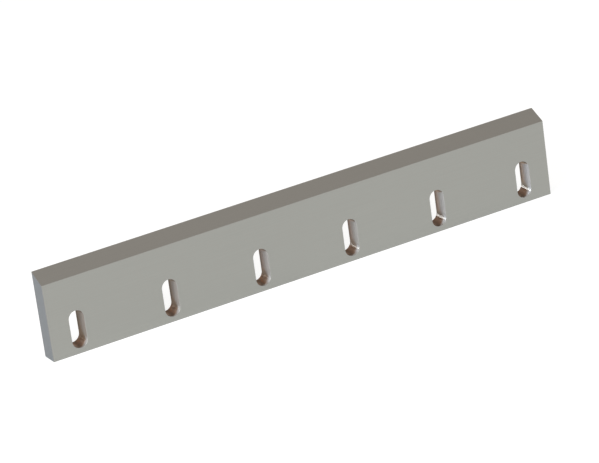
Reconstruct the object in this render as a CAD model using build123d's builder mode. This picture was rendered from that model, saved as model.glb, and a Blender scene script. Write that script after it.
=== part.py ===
from build123d import *
import os

# Stator knife of a granulator, ground from one flat bar of tool steel.
# It is bolted to its seat through a row of upright slots, and its top is bevelled to one long cutting edge.
# Sizes are in millimetres. X runs along the knife, Y through its thickness and Z up to the cutting edge.
# The front face looks towards -Y and the back face, which lies on the seat, towards +Y.
# The origin is at the middle of the lower edge face, on which the knife stands.

# The bar
length = 600.0
thickness = 20.0
height = 94.0  # from the lower edge face up to the cutting edge
bevel_drop = 10.0  # how far the bevel falls on its way to the front face
edge_break = 0.4  # chamfer on the edges that don't cut

# The bolt slots, long enough to let the knife be moved up as its edge is reground
slot_count = 6
slot_width = 17.0  # clearance for an M16 bolt
slot_length = 41.0  # from end to end
slot_land = 5.8  # steel left between the lower edge face and each slot
end_margin = 32.0  # from an end face to the middle of the nearest slot
mouth_break = 0.4  # chamfer round each slot's mouths

# Places that follow from the sizes above
front_height = height - bevel_drop
front = -thickness / 2
back = thickness / 2
slot_middle = slot_land + slot_length / 2
slot_pitch = (length - 2 * end_margin) / (slot_count - 1)

with BuildPart() as stator_knife:
    # The bar, with its lower edges and its upright corners broken
    with BuildSketch(Plane.XY):
        Rectangle(length, thickness)
    extrude(amount=height)
    uprights = edges().filter_by(Axis.Z)
    lower_edges = edges().group_by(Axis.Z)[0]
    chamfer(uprights + lower_edges, length=edge_break)

    # The slots, cut right through and broken where they meet the front and back faces
    with BuildSketch(Plane.XZ):
        with Locations((0, slot_middle)):
            with GridLocations(slot_pitch, slot_pitch, slot_count, 1):
                SlotOverall(slot_length, slot_width, rotation=90)
    extrude(amount=thickness, both=True, mode=Mode.SUBTRACT)
    across = faces().sort_by(Axis.Y)
    mouths = across[0].inner_wires().edges() + across[-1].inner_wires().edges()
    chamfer(mouths, length=mouth_break)

    # The bevel, ground last, so that it leaves a sharp edge along the top of the back face
    with BuildSketch(Plane.YZ):
        with BuildLine():
            Polyline((back, height), (front, front_height), (front, height), close=True)
        make_face()
    extrude(amount=length, both=True, mode=Mode.SUBTRACT)

stator_knife.part.label = "stator_knife"

os.makedirs("parts", exist_ok=True)
export_step(stator_knife.part, "parts/stator_knife.step")
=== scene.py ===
"""Stator knife: one flat bar of ground tool steel, with a bevelled cutting edge and six bolt slots.

Lengths are in metres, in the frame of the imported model: X along the knife, +Y from the front face to the
back face, Z up to the cutting edge, and the origin at the middle of the lower edge face.
"""
from math import cos, pi, radians, sin

import bmesh
import bpy
from mathutils import Matrix, Vector


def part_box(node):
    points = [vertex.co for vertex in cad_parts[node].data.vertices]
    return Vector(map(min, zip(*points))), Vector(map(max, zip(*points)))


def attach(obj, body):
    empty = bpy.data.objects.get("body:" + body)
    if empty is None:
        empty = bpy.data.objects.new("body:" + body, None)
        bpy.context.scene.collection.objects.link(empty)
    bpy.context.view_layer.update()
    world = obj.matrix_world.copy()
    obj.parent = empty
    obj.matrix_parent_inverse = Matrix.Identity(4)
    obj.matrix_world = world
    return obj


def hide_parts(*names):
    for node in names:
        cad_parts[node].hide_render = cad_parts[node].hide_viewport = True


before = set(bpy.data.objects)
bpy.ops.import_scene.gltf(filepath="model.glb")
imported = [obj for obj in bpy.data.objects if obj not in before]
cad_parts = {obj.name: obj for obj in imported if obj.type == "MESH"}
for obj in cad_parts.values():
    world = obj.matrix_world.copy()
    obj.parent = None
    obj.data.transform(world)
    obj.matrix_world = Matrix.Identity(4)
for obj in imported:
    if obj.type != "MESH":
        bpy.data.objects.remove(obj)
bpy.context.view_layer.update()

# The knife's sizes. The overall ones come from the frame.
KNIFE_LOW, KNIFE_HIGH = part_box("stator_knife")
LEFT, FRONT, FOOT = KNIFE_LOW
RIGHT, BACK, CUTTING_EDGE = KNIFE_HIGH
BEVEL_DROP = 0.010
FRONT_TOP = CUTTING_EDGE - BEVEL_DROP
EDGE_BREAK = 0.0004
CORNER_RADIUS = 0.0006
SLOT_COUNT = 6
SLOT_WIDTH = 0.017
SLOT_LENGTH = 0.041
SLOT_LAND = 0.0058
END_MARGIN = 0.032
SLOT_MIDDLE = SLOT_LAND + SLOT_LENGTH / 2
SLOT_TOP = SLOT_LAND + SLOT_LENGTH
LOWER_ARC_TOP = SLOT_LAND + SLOT_WIDTH / 2
SLOT_PITCH = (RIGHT - LEFT - 2 * END_MARGIN) / (SLOT_COUNT - 1)

# How finely the round stretches are cut
ARC_STEPS = 32
BREAK_STEPS = 3
SHARP_ANGLE = radians(35)

# How a face's normal tells what the face is: across the knife's thickness, along it, or up
FLAT_ON = 0.1
FACE_ON = 0.98
LOOKS_UP = 0.5

# The photograph's viewpoint, round the middle of the knife
VIEW_AZIMUTH = -26.634
VIEW_ELEVATION = 21.717
VIEW_ROLL = -7.930
VIEW_DISTANCE = 4.0973
VIEW_LENS_MM = 237.03
SENSOR_MM = 36.0

# The steel: ground faces, the bevel, the ends as they were cut, the dull outer edges, and the slots' mouths.
# The ends' darker, cooler colour and the outer edges' darker colour are painted shade, and the mouths'
# brighter colour is a painted highlight
GROUND_COLOUR = (0.352, 0.358, 0.333)
GROUND_ROUGHNESS = 0.42
BEVEL_COLOUR = (0.363, 0.374, 0.347)
BEVEL_ROUGHNESS = 0.38
END_COLOUR = (0.226, 0.247, 0.264)
END_ROUGHNESS = 0.48
EDGE_COLOUR = (0.270, 0.275, 0.265)
EDGE_ROUGHNESS = 0.50
MOUTH_COLOUR = (0.400, 0.408, 0.392)
MOUTH_ROUGHNESS = 0.50

# The grain of each finish: how many streaks a metre holds along X, Y and Z. Then what the grain does to the
# colour, the roughness and the relief.
GROUND_GRAIN = (8, 900, 900)
BEVEL_GRAIN = (8, 1200, 1200)
END_GRAIN = (500, 60, 500)
EDGE_GRAIN = (400, 400, 400)
GRAIN_DETAIL = 3.0
GRAIN_CONTRAST = 0.06
GRAIN_ROUGHNESS = 0.05
GRAIN_STRENGTH = 0.15
GRAIN_DEPTH = 0.00002

# The slots: brown hardening skin inside, worn to bare steel towards the front mouths, which is partly wear
# and partly painted light. Their colours go by the place along the knife, and are darker at its left end than
# at its right, which is painted shade. First the skin on the walls, then just above the lower arcs and in the
# upper ones, which are darker as painted shade.
SKIN_ALONG = (
    (LEFT, (0.130, 0.075, 0.035)),
    (-0.160, (0.190, 0.130, 0.088)),
    (-0.050, (0.378, 0.276, 0.236)),
    (0.160, (0.545, 0.388, 0.310)),
    (RIGHT, (0.520, 0.362, 0.242)),
)
SKIN_ARC_ALONG = (
    (LEFT, (0.125, 0.078, 0.046)),
    (-0.050, (0.208, 0.160, 0.128)),
    (0.060, (0.247, 0.200, 0.167)),
    (0.160, (0.235, 0.205, 0.178)),
    (RIGHT, (0.310, 0.290, 0.255)),
)
SKIN_ARC_FADE = 0.007
SKIN_HIGH_ALONG = (
    (LEFT, (0.058, 0.042, 0.032)),
    (0.0, (0.088, 0.068, 0.054)),
    (RIGHT, (0.136, 0.110, 0.084)),
)
# The bare steel, which is brighter in the lower arcs as painted light, and browner again at their very bottom
BARE_ALONG = (
    (LEFT, (0.217, 0.190, 0.166)),
    (-0.050, (0.356, 0.349, 0.345)),
    (0.110, (0.385, 0.394, 0.388)),
    (RIGHT, (0.465, 0.480, 0.505)),
)
BARE_LOW_ALONG = (
    (LEFT, (0.400, 0.400, 0.395)),
    (0.110, (0.490, 0.515, 0.535)),
    (RIGHT, (0.575, 0.620, 0.665)),
)
BARE_LOW_FADE = 0.002
BARE_TINT_BY_HEIGHT = (
    (SLOT_LAND, (0.80, 0.77, 0.73)),
    (SLOT_LAND + 0.0010, (0.78, 0.74, 0.69)),
    (SLOT_LAND + 0.0021, (1.0, 1.0, 1.0)),
)
# The gloss of the bare steel and of the skin, and the skin's patches
BARE_METALLIC = 0.25
BARE_ROUGHNESS = 0.42
SKIN_METALLIC = 0.50
SKIN_ROUGHNESS = 0.35
SKIN_UNEVENNESS = 0.50
PATCHES_PER_METRE = 300
SLOT_SPECULAR = 0.25
SLOT_SPECULAR_TINT = (0.90, 0.78, 0.65)
# The share of the walls' colour that is left next to the back mouths, as painted shade, and what the bare
# steel gains next to the front ones, as painted light
BACK_SHADE = 0.26
BACK_SHADE_DEPTH = 0.0075
BARE_PAINTED_LIGHT = 1.15
BARE_PAINTED_LIGHT_DEPTH = 0.003
# The middle of the walls is paler in the slots on the right, as painted light: by how much along the knife,
# between which depths along Y, and from which height up
MIDDLE_PAINTED_LIGHT_ALONG = (
    (-0.110, 0.00),
    (-0.050, 0.07),
    (0.160, 0.22),
    (RIGHT, 0.14),
)
MIDDLE_STARTS, MIDDLE_FULL_FROM, MIDDLE_FULL_TO, MIDDLE_ENDS = -0.004, -0.0005, 0.003, 0.008
MIDDLE_LOW, MIDDLE_HIGH = LOWER_ARC_TOP + 0.002, LOWER_ARC_TOP + 0.010
# The skin in the slots' lower ends, by its height: darkest at the bottom, which is painted shade
SKIN_LOW_BY_HEIGHT = (
    (SLOT_LAND, (0.110, 0.072, 0.045)),
    (SLOT_LAND + 0.0007, (0.250, 0.158, 0.108)),
    (SLOT_LAND + 0.0022, (0.385, 0.285, 0.220)),
    (SLOT_LAND + 0.0038, (0.236, 0.180, 0.144)),
    (LOWER_ARC_TOP - 0.0036, (0.235, 0.182, 0.147)),
    (LOWER_ARC_TOP - 0.0030, (0.130, 0.092, 0.062)),
)
# Rust in that skin: how many streaks a metre holds along X, Y and Z, and what it does to the colour
RUST_STREAKS = (170, 170, 330)
RUST_START, RUST_END = 0.53, 0.70
RUST_TINT = (1.28, 0.95, 0.66)
# How far below the arc's top that skin begins, and how softly
SKIN_LOW_EDGE_ALONG = (
    (-0.030, 0.0042),
    (0.030, 0.0027),
)
SKIN_LOW_FADE_ALONG = (
    (-0.030, 0.0030),
    (0.030, 0.0005),
)
# How far in from the front face the skin is worn, by the height above the knife's foot. The bare steel this
# leaves is partly wear and partly painted light at the front mouths
WEAR_AND_PAINTED_LIGHT_BY_HEIGHT = (
    (SLOT_LAND, 0.0031),
    (SLOT_LAND + 0.0010, 0.0060),
    (SLOT_LAND + 0.0030, 0.0088),
    (LOWER_ARC_TOP - 0.0030, 0.0072),
    (LOWER_ARC_TOP, 0.0110),
    (LOWER_ARC_TOP + 0.0060, 0.0220),
    (SLOT_TOP - SLOT_WIDTH / 2, 0.0225),
    (SLOT_TOP - 0.0050, 0.0018),
    (SLOT_TOP, 0.0012),
)
# The share of that depth in the lower halves of the slots on the left, and the heights between which it
# goes to one. The less worn, darker slots on the left are painted shade
LOW_WEAR_AND_PAINTED_SHADE_ALONG = (
    (LEFT, 0.82),
    (-0.160, 0.91),
    (-0.050, 1.0),
)
LOW_WEAR_AND_PAINTED_SHADE_START, LOW_WEAR_AND_PAINTED_SHADE_END = LOWER_ARC_TOP + 0.006, LOWER_ARC_TOP + 0.018
# How uneven that depth is, and the share of it that is worn quite bare
WEAR_UNEVENNESS = 0.004
BARE_SHARE = 0.3
# Oil that has gathered in the lower ends of the slots: how far below the arc's top it ends, and how softly.
# Its edge is rounded.
OIL_EDGE_ALONG = (
    (LEFT, 0.0056),
    (-0.030, 0.0048),
    (0.030, 0.0022),
    (RIGHT, 0.0019),
)
OIL_FADE_ALONG = (
    (-0.030, 0.0012),
    (0.030, 0.0007),
)
OIL_DEPTH = 0.00020
OIL_ROUGHNESS = 0.08
# The milling marks on the walls: how many a metre holds along X, Y and Z, and their relief
MILLING_MARKS = (1500, 1500, 40)
MILLING_STRENGTH = 0.15
MILLING_DEPTH = 0.00001

# The floor glows to the camera and in reflections, and takes the knife's shadow
FLOOR_SIZE = 60.0
FLOOR_COLOUR = (0.34, 0.34, 0.34)
FLOOR_GLOW = 0.815
FLOOR_GLOW_COLOUR = (0.985, 1.0, 1.0)
FLOOR_GLOW_REFLECTED = 0.775

# The studio: white walls, a ceiling between two heights in degrees, and behind the knife a dark wall with a
# low window, between angles left of +Y
WALL_COLOUR = (1.0, 1.0, 1.0)
CEILING_COLOUR = (0.68, 0.62, 0.60)
CEILING_START, CEILING_END = 25, 50
BACK_LOW_COLOUR = (0.52, 0.38, 0.30)
BACK_HIGH_COLOUR = (0.34, 0.26, 0.21)
BACK_HIGH = 30
BACK_TOP_START, BACK_TOP_END = 45, 58
BACK_SIDE_START, BACK_SIDE_END = 3, 17
WINDOW_COLOUR = (8.4, 8.5, 8.4)
WINDOW_RIGHT, WINDOW_LEFT = 34.6, 38.2
WINDOW_TOP = 10.5
WINDOW_SOFTNESS = 0.5

# The lamp
KEY_AZIMUTH, KEY_ELEVATION = -65, 16
KEY_DISTANCE = 3.0
KEY_WIDTH, KEY_HEIGHT = 1.2, 0.9
KEY_RADIANCE = 20.0


def pick(sockets, name, kind):
    """The socket of a name and a type, because the Mix node has several of each name."""
    return next(socket for socket in sockets if socket.name == name and socket.type == kind)


class Tree:
    """The nodes of a material or a world, with one short call for each kind of node used here."""

    def __init__(self, owner):
        owner.use_nodes = True
        self.nodes = owner.node_tree.nodes
        self.links = owner.node_tree.links

    def feed(self, socket, value):
        """A socket takes another node's output, a number or a colour."""
        if isinstance(value, bpy.types.NodeSocket):
            self.links.new(value, socket)
        elif socket.type == "RGBA":
            socket.default_value = (*value, 1)
        else:
            socket.default_value = value

    def place(self, space="Object"):
        """The coordinates of a point on the object, or the direction in a world."""
        return self.nodes.new("ShaderNodeTexCoord").outputs[space]

    def split(self, vector):
        """A vector's X, Y and Z."""
        node = self.nodes.new("ShaderNodeSeparateXYZ")
        self.feed(node.inputs["Vector"], vector)
        return node.outputs

    def math(self, operation, *values):
        """The result of a sum or a product."""
        node = self.nodes.new("ShaderNodeMath")
        node.operation = operation
        for socket, value in zip(node.inputs, values):
            self.feed(socket, value)
        return node.outputs["Value"]

    def along(self, vector, direction):
        """How far a vector goes along a direction."""
        node = self.nodes.new("ShaderNodeVectorMath")
        node.operation = "DOT_PRODUCT"
        self.feed(node.inputs[0], vector)
        self.feed(node.inputs[1], direction)
        return node.outputs["Value"]

    def step(self, value, start, end, low=0.0, high=1.0):
        """A soft step from low to high while value goes from start to end."""
        node = self.nodes.new("ShaderNodeMapRange")
        node.interpolation_type = "SMOOTHSTEP"
        names = ("Value", "From Min", "From Max", "To Min", "To Max")
        for name, number in zip(names, (value, start, end, low, high)):
            self.feed(node.inputs[name], number)
        return node.outputs["Result"]

    def blend(self, factor, one, two):
        """The colour between two colours."""
        node = self.nodes.new("ShaderNodeMix")
        node.data_type = "RGBA"
        self.feed(pick(node.inputs, "Factor", "VALUE"), factor)
        self.feed(pick(node.inputs, "A", "RGBA"), one)
        self.feed(pick(node.inputs, "B", "RGBA"), two)
        return pick(node.outputs, "Result", "RGBA")

    def tinted(self, colour, tint):
        """A colour times another colour."""
        node = self.nodes.new("ShaderNodeVectorMath")
        node.operation = "MULTIPLY"
        self.feed(node.inputs[0], colour)
        self.feed(node.inputs[1], tint)
        return node.outputs["Vector"]

    def scaled(self, colour, factor):
        """A colour times a number."""
        node = self.nodes.new("ShaderNodeVectorMath")
        node.operation = "SCALE"
        self.feed(node.inputs["Vector"], colour)
        self.feed(node.inputs["Scale"], factor)
        return node.outputs["Vector"]

    def graded(self, value, stops):
        """A colour that goes through stops, each a value and the colour there."""
        node = self.nodes.new("ShaderNodeValToRGB")
        elements = node.color_ramp.elements
        while len(elements) < len(stops):
            elements.new(1.0)
        start, end = stops[0][0], stops[-1][0]
        for element, (place, colour) in zip(elements, stops):
            element.position = (place - start) / (end - start)
            element.color = (*colour, 1)
        self.feed(node.inputs["Fac"], self.math("DIVIDE", self.math("SUBTRACT", value, start), end - start))
        return node.outputs["Color"]

    def graded_number(self, value, stops):
        """A number that goes through stops, each a value and the number there."""
        return self.graded(value, [(place, (number, number, number)) for place, number in stops])

    def stretched(self, vector, scale):
        """Coordinates with a scale of their own along each axis."""
        node = self.nodes.new("ShaderNodeMapping")
        self.feed(node.inputs["Scale"], scale)
        self.feed(node.inputs["Vector"], vector)
        return node.outputs["Vector"]

    def relief(self, height, strength, distance):
        """A normal with shallow relief."""
        node = self.nodes.new("ShaderNodeBump")
        self.feed(node.inputs["Strength"], strength)
        self.feed(node.inputs["Distance"], distance)
        self.feed(node.inputs["Height"], height)
        return node.outputs["Normal"]

    def noise(self, vector, scale, detail=2.0):
        """Soft noise from 0 to 1."""
        node = self.nodes.new("ShaderNodeTexNoise")
        self.feed(node.inputs["Vector"], vector)
        self.feed(node.inputs["Scale"], scale)
        self.feed(node.inputs["Detail"], detail)
        return node.outputs["Fac"]


def make_camera():
    """The camera looks at the middle of the knife from the front and the left, and leans a little."""
    azimuth, elevation = radians(VIEW_AZIMUTH), radians(VIEW_ELEVATION)
    target = (KNIFE_LOW + KNIFE_HIGH) / 2
    outward = Vector((sin(azimuth) * cos(elevation), -cos(azimuth) * cos(elevation), sin(elevation)))
    data = bpy.data.cameras.new("camera")
    data.sensor_width = SENSOR_MM
    data.lens = VIEW_LENS_MM
    camera = bpy.data.objects.new("camera", data)
    level = (-outward).to_track_quat("-Z", "Y").to_matrix()
    turned = level @ Matrix.Rotation(radians(VIEW_ROLL), 3, "Z")
    camera.matrix_world = Matrix.Translation(target + outward * VIEW_DISTANCE) @ turned.to_4x4()
    bpy.context.scene.collection.objects.link(camera)
    bpy.context.scene.camera = camera


def obround(x, z, width, length):
    """Points round an upright slot's outline as (x, z), anticlockwise from its right side."""
    radius = width / 2
    reach = (length - width) / 2
    points = []
    for end, start_angle in ((reach, 0.0), (-reach, pi)):
        for step in range(ARC_STEPS + 1):
            angle = start_angle + pi * step / ARC_STEPS
            points.append((x + radius * cos(angle), z + end + radius * sin(angle)))
    return points


def break_profile(size):
    """A rounded edge break as (inset from the face, how far the outline has opened), from wall to face."""
    steps = [pi / 2 * step / BREAK_STEPS for step in range(BREAK_STEPS + 1)]
    return [(size * (1 - sin(angle)), size * (1 - cos(angle))) for angle in steps]


def add_loop(mesh, points, y):
    """A closed loop of vertices through (x, z) points at depth y, and its edges."""
    vertices = [mesh.verts.new((x, y, z)) for x, z in points]
    edges = [mesh.edges.new((a, b)) for a, b in zip(vertices, vertices[1:] + vertices[:1])]
    return vertices, edges


def bridge(mesh, loops):
    """Quads between each loop and the next."""
    for one, two in zip(loops, loops[1:]):
        for index in range(len(one)):
            following = (index + 1) % len(one)
            mesh.faces.new((one[index], one[following], two[following], two[index]))


def slot_loops(mesh, x):
    """The loops of one slot from the front face to the back face, and the edges that lie on those faces."""
    depths = [(FRONT + inset, opened) for inset, opened in reversed(break_profile(EDGE_BREAK))]
    depths += [(BACK - inset, opened) for inset, opened in break_profile(EDGE_BREAK)]
    loops = []
    for y, opened in depths:
        points = obround(x, SLOT_MIDDLE, SLOT_WIDTH + 2 * opened, SLOT_LENGTH + 2 * opened)
        loops.append(add_loop(mesh, points, y))
    bridge(mesh, [vertices for vertices, edges in loops])
    return loops[0][1], loops[-1][1]


def bar_outline(closed):
    """The outline as (x, z), with round corners, drawn in by closed and open above the cutting edge."""
    above = CUTTING_EDGE + BEVEL_DROP
    radius = CORNER_RADIUS - closed
    points = [(LEFT + closed, above)]
    for x, start_angle in ((LEFT + CORNER_RADIUS, pi), (RIGHT - CORNER_RADIUS, 3 * pi / 2)):
        for step in range(BREAK_STEPS + 1):
            angle = start_angle + pi / 2 * step / BREAK_STEPS
            points.append((x + radius * cos(angle), FOOT + CORNER_RADIUS + radius * sin(angle)))
    points.append((RIGHT - closed, above))
    return points


def cut_bevel(mesh):
    """Cuts off what lies above the bevel, and closes the cut."""
    slope = Vector((0, FRONT - BACK, -BEVEL_DROP)).normalized()
    upward = Vector((0, slope.z, -slope.y))
    everything = mesh.verts[:] + mesh.edges[:] + mesh.faces[:]
    cut = bmesh.ops.bisect_plane(
        mesh, geom=everything, plane_co=(0, BACK, CUTTING_EDGE), plane_no=upward, clear_outer=True
    )
    rim = [item for item in cut["geom_cut"] if isinstance(item, bmesh.types.BMEdge)]
    bmesh.ops.contextual_create(mesh, geom=rim)


def make_knife_mesh():
    """The bar with broken edges, its slots, and then the bevel, in the order in which they are cut."""
    mesh = bmesh.new()
    profile = break_profile(EDGE_BREAK)
    depths = [(FRONT + inset, closed) for inset, closed in reversed(profile)]
    depths += [(BACK - inset, closed) for inset, closed in profile]
    loops = [add_loop(mesh, bar_outline(closed), y) for y, closed in depths]
    bridge(mesh, [vertices for vertices, edges in loops])
    front_edges, back_edges = loops[0][1], loops[-1][1]
    for number in range(SLOT_COUNT):
        on_front, on_back = slot_loops(mesh, LEFT + END_MARGIN + number * SLOT_PITCH)
        front_edges = front_edges + on_front
        back_edges = back_edges + on_back
    for edges, outward in ((front_edges, -1), (back_edges, 1)):
        bmesh.ops.triangle_fill(mesh, edges=edges, use_beauty=True, normal=(0, outward, 0))
    cut_bevel(mesh)
    bmesh.ops.recalc_face_normals(mesh, faces=mesh.faces[:])
    return mesh


def make_knife(materials):
    """The knife as one object, with a finish for each way in which its faces were cut."""
    mesh = make_knife_mesh()
    names = list(materials)
    for face in mesh.faces:
        face.smooth = True
        face.material_index = names.index(finish_of(face))
    data = bpy.data.meshes.new("knife")
    mesh.to_mesh(data)
    mesh.free()
    for name in names:
        data.materials.append(materials[name])
    data.set_sharp_from_angle(angle=SHARP_ANGLE)
    knife = bpy.data.objects.new("knife", data)
    bpy.context.scene.collection.objects.link(knife)
    weighted = knife.modifiers.new("weighted_normals", "WEIGHTED_NORMAL")
    weighted.keep_sharp = True
    return knife


def finish_of(face):
    """Which finish a face of the knife has, by where it is and where it looks."""
    centre, normal = face.calc_center_median(), face.normal
    at_end = centre.x < LEFT + CORNER_RADIUS or centre.x > RIGHT - CORNER_RADIUS
    at_foot = centre.z < SLOT_LAND / 2
    if centre.z > FRONT_TOP and normal.z > LOOKS_UP:
        return "bevel"
    if FLAT_ON < abs(normal.y) < FACE_ON:
        return "edge" if at_end or at_foot else "mouth"
    if abs(normal.y) >= FACE_ON:
        return "ground"
    if at_end:
        return "end"
    return "ground" if at_foot else "slot"


def steel(name, colour, roughness, grain):
    """Bare steel with a procedural grain. grain is how many streaks a metre holds along X, Y and Z."""
    material = bpy.data.materials.new(name)
    tree = Tree(material)
    shader = tree.nodes["Principled BSDF"]
    shader.inputs["Metallic"].default_value = 1.0
    streaks = tree.noise(tree.stretched(tree.place(), grain), 1.0, GRAIN_DETAIL)
    darker = [part * (1 - GRAIN_CONTRAST) for part in colour]
    lighter = [part * (1 + GRAIN_CONTRAST) for part in colour]
    smoothest, roughest = roughness - GRAIN_ROUGHNESS, roughness + GRAIN_ROUGHNESS
    tree.feed(shader.inputs["Base Color"], tree.blend(streaks, darker, lighter))
    tree.feed(shader.inputs["Roughness"], tree.step(streaks, 0.0, 1.0, smoothest, roughest))
    tree.feed(shader.inputs["Normal"], tree.relief(streaks, GRAIN_STRENGTH, GRAIN_DEPTH))
    return material


def slot_steel():
    """Hardening skin inside the slots, worn off towards the front mouths, with oil in their lower ends. Its
    colours hold painted light and shade: darker to the left, by the back mouths, in the upper arcs and at the
    bottom, paler towards the front mouths, in the lower arcs and in the middle of the right walls.
    """
    material = bpy.data.materials.new("slot_steel")
    tree = Tree(material)
    shader = tree.nodes["Principled BSDF"]
    shader.inputs["Specular IOR Level"].default_value = SLOT_SPECULAR
    shader.inputs["Specular Tint"].default_value = (*SLOT_SPECULAR_TINT, 1)
    shader.inputs["Coat Roughness"].default_value = OIL_ROUGHNESS
    place = tree.place()
    x, y, z = tree.split(place)
    patches = tree.math("SUBTRACT", tree.noise(place, PATCHES_PER_METRE), 0.5)
    skin = skin_cover(tree, x, y, z, patches)
    oil = below_edge(tree, x, z, OIL_EDGE_ALONG, OIL_FADE_ALONG)
    marks = tree.noise(tree.stretched(place, MILLING_MARKS), 1.0)
    rust = tree.step(tree.noise(tree.stretched(place, RUST_STREAKS), 1.0), RUST_START, RUST_END)
    colour = tree.blend(skin, bare_colour(tree, x, y, z), skin_colour(tree, x, z, patches, rust))
    colour = tree.scaled(colour, middle_painted_light(tree, x, y, z))
    tree.feed(shader.inputs["Base Color"], tree.scaled(colour, back_shade(tree, y, z)))
    tree.feed(shader.inputs["Metallic"], tree.step(skin, 0.0, 1.0, BARE_METALLIC, SKIN_METALLIC))
    tree.feed(shader.inputs["Roughness"], tree.step(skin, 0.0, 1.0, BARE_ROUGHNESS, SKIN_ROUGHNESS))
    tree.feed(shader.inputs["Normal"], tree.relief(marks, MILLING_STRENGTH, MILLING_DEPTH))
    tree.feed(shader.inputs["Coat Weight"], oil)
    tree.feed(shader.inputs["Coat Normal"], tree.relief(oil, 1.0, OIL_DEPTH))
    return material


def skin_cover(tree, x, y, z, patches):
    """How much of the skin is left: none near the front mouths, and all of it past the worn depth. The bare
    steel near the front mouths is partly wear and partly painted light.
    """
    share = tree.step(z, LOW_WEAR_AND_PAINTED_SHADE_START, LOW_WEAR_AND_PAINTED_SHADE_END, tree.graded_number(x, LOW_WEAR_AND_PAINTED_SHADE_ALONG), 1.0)
    reach = tree.math("MULTIPLY", tree.graded_number(z, WEAR_AND_PAINTED_LIGHT_BY_HEIGHT), share)
    uneven = tree.math("MULTIPLY", patches, WEAR_UNEVENNESS)
    depth = tree.math("ADD", tree.math("SUBTRACT", y, FRONT), uneven)
    return tree.step(tree.math("DIVIDE", depth, reach), BARE_SHARE, 1.0)


def below_edge(tree, x, z, edge_along, fade_along):
    """One below an edge in the slots' lower arcs and none above it, by the place along the knife."""
    edge = tree.math("SUBTRACT", LOWER_ARC_TOP, tree.graded_number(x, edge_along))
    above = tree.math("DIVIDE", tree.math("SUBTRACT", z, edge), tree.graded_number(x, fade_along))
    return tree.step(above, -1.0, 1.0, 1.0, 0.0)


def skin_colour(tree, x, z, patches, rust):
    """The skin's colour, with darker and lighter patches, and rust in the lower ends. Its darkening to the
    left, in the upper arcs and towards the bottom is painted shade.
    """
    high = tree.step(z, SLOT_TOP - SLOT_WIDTH / 2, SLOT_TOP - SLOT_WIDTH / 4)
    low = below_edge(tree, x, z, SKIN_LOW_EDGE_ALONG, SKIN_LOW_FADE_ALONG)
    near_arc = tree.step(z, LOWER_ARC_TOP, LOWER_ARC_TOP + SKIN_ARC_FADE, 1.0, 0.0)
    colour = tree.blend(near_arc, tree.graded(x, SKIN_ALONG), tree.graded(x, SKIN_ARC_ALONG))
    colour = tree.blend(high, colour, tree.graded(x, SKIN_HIGH_ALONG))
    lowest = tree.graded(z, SKIN_LOW_BY_HEIGHT)
    colour = tree.blend(low, colour, tree.blend(rust, lowest, tree.tinted(lowest, RUST_TINT)))
    return tree.scaled(colour, tree.math("ADD", tree.math("MULTIPLY", patches, SKIN_UNEVENNESS), 1.0))


def bare_colour(tree, x, y, z):
    """The bare steel's colour, brighter below and next to the front mouths, both as painted light."""
    low = tree.step(z, LOWER_ARC_TOP - BARE_LOW_FADE, LOWER_ARC_TOP + BARE_LOW_FADE, 1.0, 0.0)
    colour = tree.blend(low, tree.graded(x, BARE_ALONG), tree.graded(x, BARE_LOW_ALONG))
    colour = tree.tinted(colour, tree.graded(z, BARE_TINT_BY_HEIGHT))
    return tree.scaled(colour, tree.step(y, FRONT, FRONT + BARE_PAINTED_LIGHT_DEPTH, BARE_PAINTED_LIGHT, 1.0))


def middle_painted_light(tree, x, y, z):
    """A factor that makes the middle of the right slots' walls paler, as painted light."""
    rising = tree.step(y, MIDDLE_STARTS, MIDDLE_FULL_FROM)
    falling = tree.step(y, MIDDLE_FULL_TO, MIDDLE_ENDS, 1.0, 0.0)
    across = tree.math("MULTIPLY", rising, falling)
    middle = tree.math("MULTIPLY", across, tree.step(z, MIDDLE_LOW, MIDDLE_HIGH))
    return tree.math("ADD", 1.0, tree.math("MULTIPLY", middle, tree.graded_number(x, MIDDLE_PAINTED_LIGHT_ALONG)))


def back_shade(tree, y, z):
    """A factor that darkens the walls next to the back mouths as painted shade, and leaves the lower arcs as
    they are.
    """
    high = tree.step(z, LOWER_ARC_TOP, LOWER_ARC_TOP + SKIN_ARC_FADE)
    shade = tree.step(y, BACK - BACK_SHADE_DEPTH, BACK, 0.0, 1.0 - BACK_SHADE)
    return tree.math("SUBTRACT", 1.0, tree.math("MULTIPLY", high, shade))


def make_materials():
    """One finish for each way in which the faces of the knife were cut, with painted shade in the ends' and
    outer edges' colours and a painted highlight in the mouths'.
    """
    return {
        "ground": steel("ground_steel", GROUND_COLOUR, GROUND_ROUGHNESS, GROUND_GRAIN),
        "bevel": steel("bevel_steel", BEVEL_COLOUR, BEVEL_ROUGHNESS, BEVEL_GRAIN),
        "end": steel("end_steel", END_COLOUR, END_ROUGHNESS, END_GRAIN),
        "edge": steel("edge_steel", EDGE_COLOUR, EDGE_ROUGHNESS, EDGE_GRAIN),
        "mouth": steel("mouth_steel", MOUTH_COLOUR, MOUTH_ROUGHNESS, EDGE_GRAIN),
        "slot": slot_steel(),
    }


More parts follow.
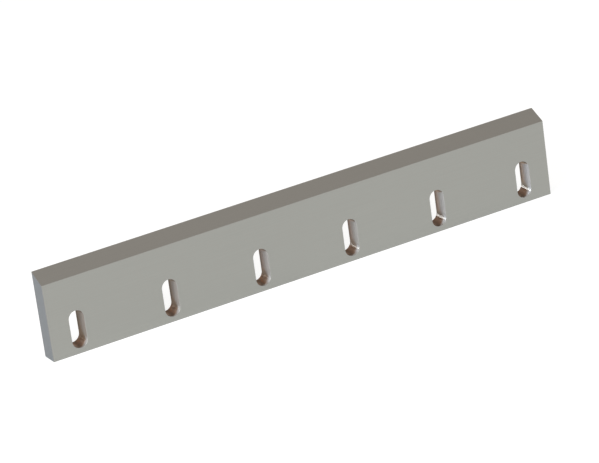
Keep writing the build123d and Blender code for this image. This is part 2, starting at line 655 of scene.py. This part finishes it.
def make_floor():
    """A plain white floor that keeps the knife's shadow."""
    half = FLOOR_SIZE / 2
    corners = [(-half, -half, 0), (half, -half, 0), (half, half, 0), (-half, half, 0)]
    data = bpy.data.meshes.new("floor")
    data.from_pydata(corners, [], [(0, 1, 2, 3)])
    floor = bpy.data.objects.new("floor", data)
    bpy.context.scene.collection.objects.link(floor)
    material = bpy.data.materials.new("floor")
    tree = Tree(material)
    shader = tree.nodes["Principled BSDF"]
    tree.feed(shader.inputs["Base Color"], FLOOR_COLOUR)
    shader.inputs["Roughness"].default_value = 1.0
    shader.inputs["Specular IOR Level"].default_value = 0.0
    path = tree.nodes.new("ShaderNodeLightPath")
    seen = path.outputs["Is Camera Ray"]
    tree.feed(shader.inputs["Emission Color"], tree.blend(seen, (1, 1, 1), FLOOR_GLOW_COLOUR))
    reflected = tree.math("MAXIMUM", path.outputs["Is Glossy Ray"], path.outputs["Is Transmission Ray"])
    glow = tree.math("MULTIPLY", reflected, FLOOR_GLOW_REFLECTED)
    glow = tree.math("MAXIMUM", glow, tree.math("MULTIPLY", seen, FLOOR_GLOW))
    tree.feed(shader.inputs["Emission Strength"], glow)
    data.materials.append(material)


def make_world():
    """Pale studio walls, a dimmer ceiling, and a dark wall behind the knife with a low window on its left."""
    world = bpy.data.worlds.new("studio")
    bpy.context.scene.world = world
    tree = Tree(world)
    way = tree.place("Generated")
    rise = tree.split(way)["Z"]
    room = tree.blend(between(tree, rise, CEILING_START, CEILING_END), WALL_COLOUR, CEILING_COLOUR)
    back = tree.blend(between(tree, rise, 0, BACK_HIGH), BACK_LOW_COLOUR, BACK_HIGH_COLOUR)
    room = tree.blend(back_wall(tree, way, rise), room, back)
    room = tree.blend(window(tree, way, rise), room, WINDOW_COLOUR)
    seen = tree.nodes.new("ShaderNodeLightPath").outputs["Is Camera Ray"]
    tree.feed(tree.nodes["Background"].inputs["Color"], tree.blend(seen, room, WALL_COLOUR))


def between(tree, part, start, end):
    """A soft step while a direction's part goes from the sine of one angle in degrees to that of another."""
    return tree.step(part, sin(radians(start)), sin(radians(end)))


def back_wall(tree, way, rise):
    """The part of the room that the wall behind the knife fills."""
    backward = between(tree, tree.split(way)["Y"], BACK_SIDE_START, BACK_SIDE_END)
    over = between(tree, rise, BACK_TOP_START, BACK_TOP_END)
    return tree.math("SUBTRACT", backward, tree.math("MULTIPLY", backward, over))


def window(tree, way, rise):
    """The part of the room that the window fills: between two angles left of +Y, and up to its top."""
    right, left = radians(WINDOW_RIGHT), radians(WINDOW_LEFT)
    past_right = tree.along(way, (-cos(right), -sin(right), 0))
    before_left = tree.along(way, (cos(left), sin(left), 0))
    under_top = tree.math("SUBTRACT", sin(radians(WINDOW_TOP)), rise)
    sides = (past_right, before_left, under_top)
    first, second, third = [between(tree, side, -WINDOW_SOFTNESS, WINDOW_SOFTNESS) for side in sides]
    return tree.math("MULTIPLY", tree.math("MULTIPLY", first, second), third)


def make_key():
    """A soft lamp from the front left, which looks at the knife."""
    azimuth, elevation = radians(KEY_AZIMUTH), radians(KEY_ELEVATION)
    outward = Vector((sin(azimuth) * cos(elevation), -cos(azimuth) * cos(elevation), sin(elevation)))
    data = bpy.data.lights.new("key", "AREA")
    data.shape = "RECTANGLE"
    data.size = KEY_WIDTH
    data.size_y = KEY_HEIGHT
    data.energy = KEY_RADIANCE * pi * KEY_WIDTH * KEY_HEIGHT
    key = bpy.data.objects.new("key", data)
    key.location = outward * KEY_DISTANCE
    key.rotation_mode = "QUATERNION"
    key.rotation_quaternion = (-outward).to_track_quat("-Z", "Y")
    key.visible_camera = False
    bpy.context.scene.collection.objects.link(key)


bpy.context.scene.view_settings.view_transform = "Standard"
make_camera()
make_world()
make_floor()
make_key()

knife = make_knife(make_materials())
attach(knife, "root")
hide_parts("stator_knife")
